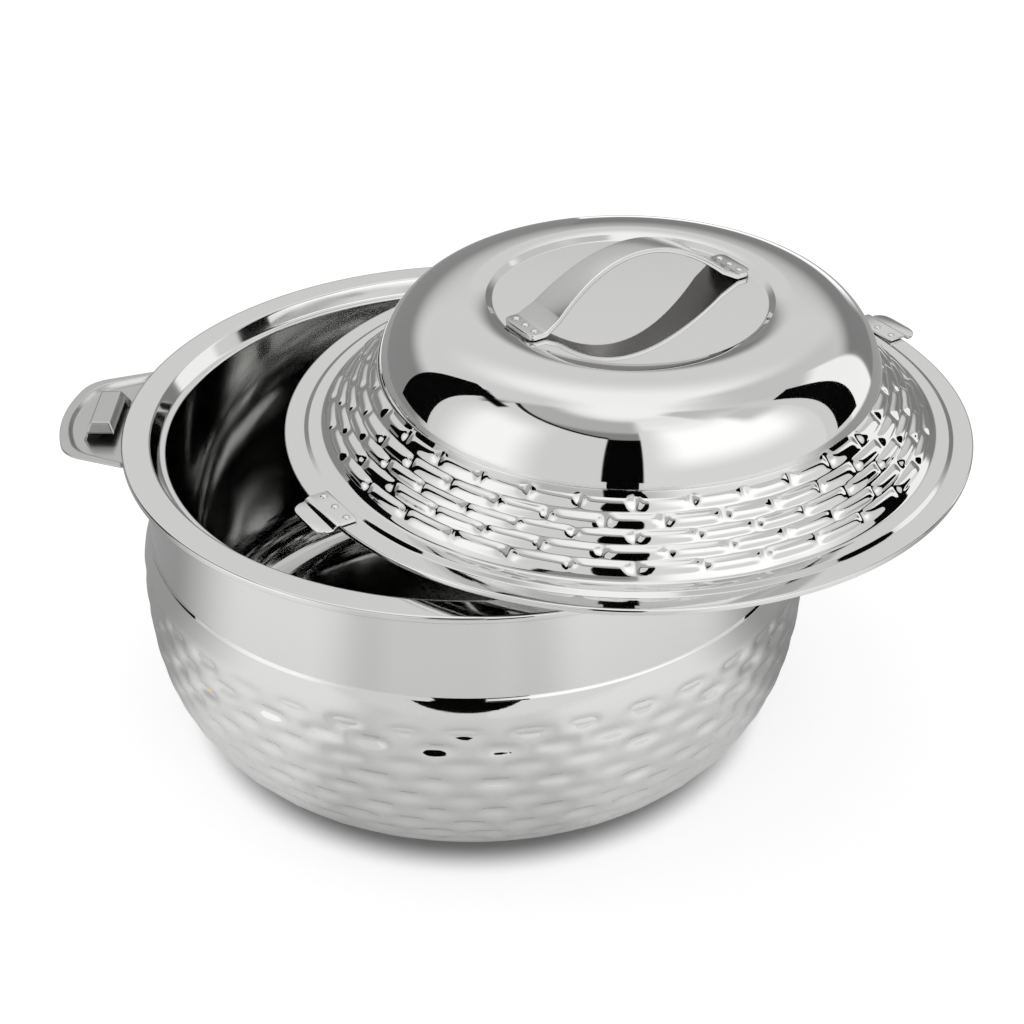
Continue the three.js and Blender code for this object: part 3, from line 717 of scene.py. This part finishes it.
def lid_sheet(sizes):
    """The cover: rolled hem, stepped flange, wall with pressed bricks, crease, dome and the
    recessed disc, closed by its own inside 0.6 mm further in."""
    flange = rounded(
        [(141.6, 0), (LID_EDGE, 0), (LID_EDGE, 2.4), (136, 2.4), (134, 3.6), (128.6, 3.6),
         WALL_FOOT], [0, 0.7, 0.8, 1.2, 0.9, 2.2, 0])
    wall = resampled([WALL_FOOT, WALL_TOP], 0.55)
    dome = superellipse(DOME_FOOT, DISC_EDGE, (3.6, 1.35), 34)
    crease = rounded([WALL_TOP, DOME_FOOT], 0)
    top = rounded([DISC_EDGE, (56.4, 56), (0, 56)], [1.2, 1.5, 0])
    outside = without_repeats(np.vstack([
        spaced(flange, 8), wall[1:], crease, dome, spaced(top, 30)]))
    way = np.subtract(WALL_TOP, WALL_FOOT)
    share = (outside - WALL_FOOT) @ way / (way @ way)
    on_wall = (outside[:, 1] > WALL_FOOT[1] - 0.1) & (outside[:, 1] < WALL_TOP[1] + 0.1)
    around = sizes.bricks_round * 16
    relief = brick_relief(np.where(on_wall, share, -1), around, sizes)
    inside = spaced(
        [(0, 55.4), (56.2, 55.4), (59.2, 57.4), (80, 54), (97, 44), (103.4, 34), (103.6, 29.6),
         (101.4, 27.9), (101.9, 26.9), (125.8, 5.4), (128.4, 3.0), (134, 3.0), (136, 1.8),
         (LID_EDGE - 0.6, 1.8), (LID_EDGE - 0.6, 0.6), (141.6, 0.6)], 90)
    whole = np.vstack([np.zeros((len(inside), around)), relief])
    return revolved(np.vstack([inside, outside]), around, whole)


def liner_sheet():
    """The liner: top, corner, wall, plug ring and flange, closed 0.6 mm further up."""
    corner = bend((68.7, 42.4), (92.7, 42.4), (92.7, 31.4), 16)
    lower = rounded(
        [(92.7, 31.4), (94.3, 18.6), (125.5, -6.1), (129.5, -6.1), (129.5, 0.9), (143.5, 0.9)],
        [0, 3, 1.5, 1.2, 1.0, 0])
    line = spaced(without_repeats(np.vstack([[(0, 43.4)], corner, lower[1:]])), 5)
    return revolved(doubled(line, -0.6), 256)


def strap():
    """The strap handle: the path is a flat foot, the parabola h (1 - t^2) and the other
    foot. Half the width is the quadratic curve from one bend to the other through the
    waist, and near the tips it draws in by a quarter circle."""
    bent, rise, waist, wide = 44.5, 21.4, 6, 10.25
    t = np.linspace(-1, 1, 81)
    arch = np.stack([bent * t, STRAP_SEAT + rise * (1 - t**2)], 1)
    foot = np.array([(-55.0, STRAP_SEAT), (-47.6, STRAP_SEAT)])
    line = np.vstack([foot, arch[4:-4], foot[::-1] * (-1, 1)])
    middle = rounded(line, [0, 5] + [0] * 73 + [5, 0], steps=8)
    between = middle[np.abs(middle[:, 0]) < 51.9, 0]
    at = np.r_[np.linspace(-55, -52, 9), between, np.linspace(52, 55, 9)]
    path = np.stack([at, np.interp(at, middle[:, 0], middle[:, 1])], 1)
    path = path - normals_of(path) * (STRAP_SHEET / 2)
    half = np.where(np.abs(at) < bent, waist + (wide - waist) * (at / bent) ** 2, wide)
    tip = np.clip(np.abs(at) - 52, 0, 3)
    half = half - (3 - np.sqrt(9 - tip**2))
    return swept(path, half, STRAP_SHEET, 0.55)


def lock_tab():
    """A lock tab: plate, step down past the edge of the lid and rounded tongue. Half the width
    is 12.5, less quarter circles of radius 6 at the tongue and 1 at the plate."""
    line = rounded([(136.6, 2.7), (145.0, 2.7), (146.8, 1.0), (153.5, 1.0)], [0, 1.6, 1.6, 0])
    line = spaced(line, 1.0)
    tip = np.linspace(147.6, 153.5, 14)
    inner = np.linspace(136.6, 137.6, 5)
    middle = line[(line[:, 0] > 137.7) & (line[:, 0] < 147.5), 0]
    at = np.r_[inner, middle, tip]
    path = np.stack([at, np.interp(at, line[:, 0], line[:, 1])], 1)
    path = path - normals_of(path) * (TAB_SHEET / 2)
    out = np.clip(at - 147.5, 0, 6)
    back = np.clip(137.6 - at, 0, 1)
    half = 12.5 - (6 - np.sqrt(np.maximum(36 - out**2, 0)))
    half = half - (1 - np.sqrt(np.maximum(1 - back**2, 0)))
    return swept(path, np.maximum(half, 0.6), TAB_SHEET, 0.4)


def rivet(shank, stack):
    """A rivet: a domed head of twice the radius of its shank, the shank and a flat tail."""
    head, rise, tail = 2 * shank, 0.9 * shank, 1.6 * shank
    a = np.linspace(0, math.pi / 2, 9)
    dome = np.stack([head * np.cos(a), SEAT_GAP + rise * np.sin(a)], 1)
    low = -stack - SEAT_GAP
    under = SEAT_GAP - HEAD_DROP
    body = [(0, low - shank / 2), (tail, low - shank / 2), (tail, low), (shank, low),
            (shank, under), (head, under)]
    profile = np.vstack([body, dome])
    profile[-1, 0] = 0
    return revolved(profile, 24)


def put_on_lid(name, points, quads, node, slot, material):
    """Makes a piece of the lid from points in the lid's own frame."""
    sizes = bpy.context.scene.casserole_lid
    placed = moved(points, sizes.turn, np.array(sizes.place) / MM)
    return put(name, (placed, quads), "lid", node, material)


class CASSEROLE_OT_lid_cover(bpy.types.Operator):
    """Makes the cover of the lid with its dome, its pressed bricks and its flange"""

    bl_idname = "casserole.lid_cover"
    bl_label = "Lid cover"

    def execute(self, context):
        sizes = context.scene.casserole_lid
        put_on_lid("pressed_lid_cover", *lid_sheet(sizes), "lid_cover", "polished_steel",
                   buffed_stainless("buffed stainless of the lid", sizes.place))
        return {"FINISHED"}


class CASSEROLE_OT_lid_liner(bpy.types.Operator):
    """Makes the liner of the lid with its plug ring"""

    bl_idname = "casserole.lid_liner"
    bl_label = "Lid liner"

    def execute(self, context):
        sizes = context.scene.casserole_lid
        put_on_lid("spun_lid_liner", *liner_sheet(), "lid_liner", "polished_steel",
                   buffed_stainless("buffed stainless of the lid", sizes.place))
        return {"FINISHED"}


class CASSEROLE_OT_strap_handle(bpy.types.Operator):
    """Makes the strap handle of the lid and its six rivets"""

    bl_idname = "casserole.strap_handle"
    bl_label = "Strap handle"

    def execute(self, context):
        sizes = context.scene.casserole_lid
        grain = (0.04, 1.0, 1.0)
        piece = put_on_lid(
            "brushed_strap_handle", *strap(), "lid_strap_handle", "brushed_steel",
            brushed_stainless("brushed stainless of the strap", grain, sizes.turn))
        # Under the strap the brushed steel is rougher, and painted darker (8A8886) as painted shade.
        piece.data.materials.append(brushed_stainless(
            "dull stainless with painted shade under the strap", grain, sizes.turn, 0.33, "8A8886"))
        shiny = buffed_stainless("tumbled stainless of the rivets", sizes.place, 1.6)
        piece.data.materials.append(shiny)
        way = np.empty(len(piece.data.polygons) * 3, np.float32)
        piece.data.polygons.foreach_get("normal", way)
        # The underside is rougher than the top and painted darker as shade on the faces that look
        # down, and the rubbed edges are brighter.
        way = moved(way.reshape(-1, 3), -sizes.turn, (0, 0, 0))
        kind = np.where(way[:, 2] < -0.3, 1, 0)
        kind[np.abs(way[:, 1]) > 0.35] = 2
        piece.data.polygons.foreach_set("material_index", kind.astype(np.int32))
        points, quads = rivet(0.8, STRAP_SHEET + SEAT_GAP + 0.6)
        for side, sign in (("right", 1), ("left", -1)):
            for i in range(3):
                spot = points + (51 * sign, (i - 1) * 6.6, 58.7 - HEAD_DROP)
                put_on_lid(f"strap_dome_rivet_{side}_{i + 1}", spot, quads,
                           f"strap_rivet_{side}_{i + 1}", "satin_steel", shiny)
        return {"FINISHED"}


class CASSEROLE_OT_lock_tabs(bpy.types.Operator):
    """Makes the two lock tabs on the flange of the lid and their rivets"""

    bl_idname = "casserole.lock_tabs"
    bl_label = "Lock tabs"

    def execute(self, context):
        sizes = context.scene.casserole_lid
        satin = buffed_stainless("tumbled stainless of the tabs", sizes.place, 2.0)
        points, quads = lock_tab()
        head, head_quads = rivet(0.8, TAB_SHEET + SEAT_GAP + 1.5)
        for side, sign in (("right", 1), ("left", -1)):
            placed = moved(points, (1 - sign) / 2 * math.pi, (0, 0, 0))
            put_on_lid(f"bent_lock_tab_{side}", placed, quads, f"lock_tab_{side}", "satin_steel",
                       satin)
            for i in range(3):
                spot = head + (139.7 * sign, (i - 1) * 9.2, 3.9 - HEAD_DROP)
                put_on_lid(f"tab_dome_rivet_{side}_{i + 1}", spot, head_quads,
                           f"tab_rivet_{side}_{i + 1}", "satin_steel", satin)
        return {"FINISHED"}


class CASSEROLE_OT_filling(bpy.types.Operator):
    """Gives the foam fillings and the rubber plug of the base their materials"""

    bl_idname = "casserole.filling"
    bl_label = "Foam and plug"

    def execute(self, context):
        foam = rigid_foam("poured polyurethane foam")
        for name in ("bowl_insulation", "lid_insulation"):
            NODES[name].data.materials[0] = foam
        NODES["foam_fill_plug"].data.materials[0] = moulded_rubber("moulded nitrile rubber")
        return {"FINISHED"}


# The stage


def window(tree, value, low, high, soft):
    """1 where value lies between low and high, falling smoothly to 0 over soft."""
    rise = node(
        tree, "MapRange", SMOOTH, Value=value,
        From_Min=low - soft / 2, From_Max=low + soft / 2,
    )
    fall = node(
        tree, "MapRange", SMOOTH, Value=value,
        From_Min=high - soft / 2, From_Max=high + soft / 2, To_Min=1.0, To_Max=0.0,
    )
    return node(tree, "Math", TIMES, i0=rise, i1=fall)


def side_angle(tree, place):
    """Degrees from the front, positive to the right, of a place or a direction."""
    split = node(tree, "SeparateXYZ", Vector=place)
    back = node(tree, "Math", TIMES, i0=split.outputs[1], i1=-1.0)
    side = node(tree, "Math", {"operation": "ARCTAN2"}, i0=split.outputs[0], i1=back)
    return node(tree, "Math", {"operation": "DEGREES"}, i0=side)


def seen(grey):
    """The brightness that the steel shows as this grey, which is written as in sRGB: its
    linear value over the steel's own."""
    return ((grey + 0.055) / 1.055) ** 2.4 / STEEL_SHINE


def studio_world(scene):
    """The room: white to the camera and to diffuse light. The metal shows two large soft
    boxes in front with a black gap between them, black flags, and a grey ceiling."""
    world = bpy.data.worlds.new("studio")
    world.use_nodes = True
    scene.world = world
    tree = world.node_tree
    tree.nodes.clear()
    way = node(tree, "TexCoord").outputs["Generated"]
    side = side_angle(tree, way)
    split = node(tree, "SeparateXYZ", Vector=way)
    up = node(tree, "Math", {"operation": "ARCSINE"}, i0=split.outputs[2])
    up = node(tree, "Math", {"operation": "DEGREES"}, i0=up)
    # Each patch: the grey that it shows in the steel, its span of angles from the front
    # (right is positive), its span of heights, how soft its edges are, and how fast its
    # heights climb with the angle. All but the grey are in degrees.
    patches = [
        (0.92, (-220, -140), (48, 90), (40, 24), 0),
        (0.92, (140, 220), (48, 90), (40, 24), 0),
        (0.74, (100, 150), (24, 66), (16, 14), 0),
        (0.50, (-200, -100), (-90, 21), (14, 14), 0),
        (0.47, (128, 200), (-90, 21), (12, 14), 0),
        (0.93, (-200, 200), (76, 100), (1, 16), 0),
        (0.66, (-94, 6), (54, 73), (16, 8), 0),
        (0.88, (6, 56), (58, 76), (10, 8), 0),
        (0.72, (58, 92), (60, 80), (14, 6), 0),
        (0.50, (-94, 6), (44, 56), (6, 5), 0),
        (0.79, (-90, -12.5), (-90, 45), (1, 1), -0.156),
        (0.95, (-82, -48), (-12, 44), (22, 22), 0),
        (0.82, (5, 90), (-90, 59), (1.5, 5), 0),
        (0.99, (16, 80), (18, 60), (20, 22), 0),
        (0.74, (66, 90), (44, 62), (12, 12), 0),
        (0.92, (108, 130), (-90, 40), (3, 8), 0),
        (0.97, (156, 186), (-30, 0), (10, 6), 0),
        (0.08, (-92, -12), (44.8, 46.8), (3, 0.8), -0.156),
        (0.01, (-12.5, 5), (-1.5, 47), (1.0, 1.0), 0),
        (0.03, (-110, -82), (47, 53), (3, 2.5), 0),
    ]
    shade = seen(0.785)
    for light, across, heights, soft, climb in patches:
        level = node(tree, "Math", {"operation": "MULTIPLY_ADD"}, i0=side, i1=-climb, i2=up)
        inside = node(tree, "Math", TIMES, i0=window(tree, side, *across, soft[0]),
                      i1=window(tree, level, *heights, soft[1]))
        shade = node(tree, "Mix", Factor=inside, A=shade, B=seen(light))
    path = node(tree, "LightPath")
    glossy = node(
        tree, "Math", {"operation": "MAXIMUM"},
        i0=path.outputs["Is Glossy Ray"], i1=path.outputs["Is Transmission Ray"],
    )
    level = node(tree, "Mix", Factor=glossy, A=1.0, B=shade)
    sky = node(tree, "Background", Strength=level)
    sky.inputs["Color"].default_value = linear("FFFFFF")
    node(tree, "OutputWorld", Surface=sky)


def white_floor():
    """A sheet of white card: matt, and lifted to pure white for the camera outside a painted shadow
    ring round the foot of the bowl. The metal sees painted light on it."""
    material, tree = new_material("white card")
    place = node(tree, "TexCoord").outputs["Object"]
    fibre = node(tree, "TexNoise", Vector=place, Scale=900.0, Detail=3.0)
    bump = node(tree, "Bump", Height=fibre, Strength=0.05, Distance=0.0001)
    side = side_angle(tree, place)
    # Painted light on the table, seen only in the metal: brighter at both sides than in the middle
    # and behind, though the room lights it evenly.
    painted_light_tone = 0.40
    for light, across, soft in ((1.0, (-80, -26), 34), (0.80, (-26, 16), 16), (1.0, (16, 78), 30)):
        painted_light_tone = node(tree, "Mix", Factor=window(tree, side, *across, soft), A=painted_light_tone, B=light)
    path = node(tree, "LightPath")
    # Glossy rays see the painted light. Other rays see an even 0.92, and the camera sees 0.42.
    painted_light_tone = node(tree, "Mix", Factor=path.outputs["Is Glossy Ray"], A=0.92, B=painted_light_tone)
    painted_light_tone = node(tree, "Mix", Factor=path.outputs["Is Camera Ray"], A=painted_light_tone, B=0.42)
    card = node(tree, "BsdfDiffuse", Color=painted_light_tone, Normal=bump)
    # The lift fades out in a fixed ring round the foot, under the belly. This is a painted contact
    # shadow, laid over the real shade there.
    out = node(tree, "VectorMath", {"operation": "LENGTH"}, i0=place)
    painted_shadow_fade = node(
        tree, "MapRange", SMOOTH,
        Value=out.outputs["Value"], From_Min=0.1155, From_Max=0.135, To_Max=0.68,
    )
    lift = node(tree, "Math", TIMES, i0=path.outputs["Is Camera Ray"], i1=painted_shadow_fade)
    glow = node(tree, "Emission", Color=linear("FFFFFF"), Strength=lift)
    both = node(tree, "AddShader", i0=card, i1=glow)
    # Further out than the table reaches, the metal shows the room below it.
    past = node(
        tree, "MapRange", SMOOTH,
        Value=out.outputs["Value"], From_Min=1.0, From_Max=1.3,
    )
    gone = node(tree, "Math", TIMES, i0=past, i1=path.outputs["Is Glossy Ray"])
    clear = node(tree, "BsdfTransparent")
    card = node(tree, "MixShader", i0=gone, i1=both, i2=clear)
    node(tree, "OutputMaterial", Surface=card)
    return material


def black_card(name, outline, material):
    """A flat black card that only the metal sees: a fan of triangles round its middle."""
    corner = np.asarray(outline, float)
    middle = corner.mean(0, keepdims=True)
    count = len(corner)
    ring = np.arange(count)
    faces = np.stack([ring, (ring + 1) % count, np.full(count, count)], 1)
    mesh = bpy.data.meshes.new(name)
    mesh.from_pydata(np.vstack([corner, middle]).tolist(), [], faces.tolist())
    mesh.materials.append(material)
    card = bpy.data.objects.new(name, mesh)
    bpy.context.scene.collection.objects.link(card)
    card.visible_camera = False
    card.visible_diffuse = False
    card.visible_shadow = False


def upright(side, low, high, left, right):
    """The corners of an upright rectangle in the plane x = side."""
    return [(side, left, low), (side, right, low), (side, right, high), (side, left, high)]


def black_velvet():
    """Velvet on the black cards of the studio: it throws back almost no light."""
    material, tree = new_material("black velvet")
    pile = node(tree, "BsdfDiffuse", Color=linear("0A0A0A"))
    node(tree, "OutputMaterial", Surface=pile)
    return material


class CASSEROLE_OT_stage(bpy.types.Operator):
    """Makes the floor, the light of the room and the camera"""

    bl_idname = "casserole.stage"
    bl_label = "Stage"

    def execute(self, context):
        scene = context.scene
        looks = scene.casserole_stage
        corner = np.array([(-1, -1), (1, -1), (1, 1), (-1, 1)]) * 12.0
        mesh = bpy.data.meshes.new("floor")
        mesh.from_pydata([(x, y, -0.0003) for x, y in corner], [], [(0, 1, 2, 3)])
        mesh.materials.append(white_floor())
        floor = bpy.data.objects.new("floor", mesh)
        scene.collection.objects.link(floor)
        velvet = black_velvet()
        black_card("card_left", upright(-0.6, 0.14, 1.02, 0.235, -0.012), velvet)
        black_card("card_right", upright(0.73, 0.12, 0.93, 0.177, -0.004), velvet)
        # Two cards in front: one with a straight top over half an ellipse, and one upright.
        front = -0.29
        a = np.linspace(0, math.pi, 25)
        low = np.stack(
            [0.075 * np.cos(a) - 0.004, np.full(25, front), 0.096 - 0.014 * np.sin(a)], 1)
        black_card("card_front", low, velvet)
        left, right, foot, top = 0.022, 0.075, 0.1, 0.177
        gap = [(left, front, foot), (right, front, foot), (right, front, top), (left, front, top)]
        black_card("card_gap", gap, velvet)
        studio_world(scene)
        scene.view_settings.view_transform = "Standard"
        camera = bpy.data.cameras.new("camera")
        camera.lens = looks.lens
        camera.sensor_width = 36
        camera.clip_start = 0.01
        camera.clip_end = 100
        eye = bpy.data.objects.new("camera", camera)
        scene.collection.objects.link(eye)
        sight = Vector(looks.target) - Vector(looks.eye)
        turn = sight.to_track_quat("-Z", "Y").to_matrix() @ Matrix.Rotation(looks.roll, 3, "Z")
        eye.matrix_world = Matrix.LocRotScale(Vector(looks.eye), turn.to_quaternion(), None)
        scene.camera = eye
        return {"FINISHED"}


class CASSEROLE_PT_panel(bpy.types.Panel):
    """Lists the pieces of the casserole."""

    bl_label = "Casserole"
    bl_idname = "CASSEROLE_PT_panel"
    bl_space_type = "VIEW_3D"
    bl_region_type = "UI"
    bl_category = "Casserole"

    def draw(self, context):
        scene = context.scene
        layout = self.layout
        for group in ("casserole_bowl", "casserole_lid", "casserole_finish", "casserole_stage"):
            settings = getattr(scene, group)
            box = layout.box()
            for name in settings.__annotations__:
                box.prop(settings, name)
        for operator in OPERATORS:
            layout.operator(operator.bl_idname)


GROUPS = {
    "casserole_bowl": BowlSizes,
    "casserole_lid": LidSizes,
    "casserole_finish": FinishLooks,
    "casserole_stage": StageLooks,
}
OPERATORS = [
    CASSEROLE_OT_stage,
    CASSEROLE_OT_inner_pot,
    CASSEROLE_OT_outer_shell,
    CASSEROLE_OT_base_plate,
    CASSEROLE_OT_side_handles,
    CASSEROLE_OT_lid_cover,
    CASSEROLE_OT_lid_liner,
    CASSEROLE_OT_strap_handle,
    CASSEROLE_OT_lock_tabs,
    CASSEROLE_OT_filling,
]


def register():
    for cls in (*GROUPS.values(), *OPERATORS, CASSEROLE_PT_panel):
        bpy.utils.register_class(cls)
    for name, cls in GROUPS.items():
        setattr(bpy.types.Scene, name, PointerProperty(type=cls))


def unregister():
    for name in GROUPS:
        delattr(bpy.types.Scene, name)
    for cls in reversed((*GROUPS.values(), *OPERATORS, CASSEROLE_PT_panel)):
        bpy.utils.unregister_class(cls)


def main():
    """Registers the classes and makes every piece."""
    register()
    for operator in OPERATORS:
        area, name = operator.bl_idname.split(".")
        getattr(getattr(bpy.ops, area), name)()


if __name__ == "__main__":
    main()
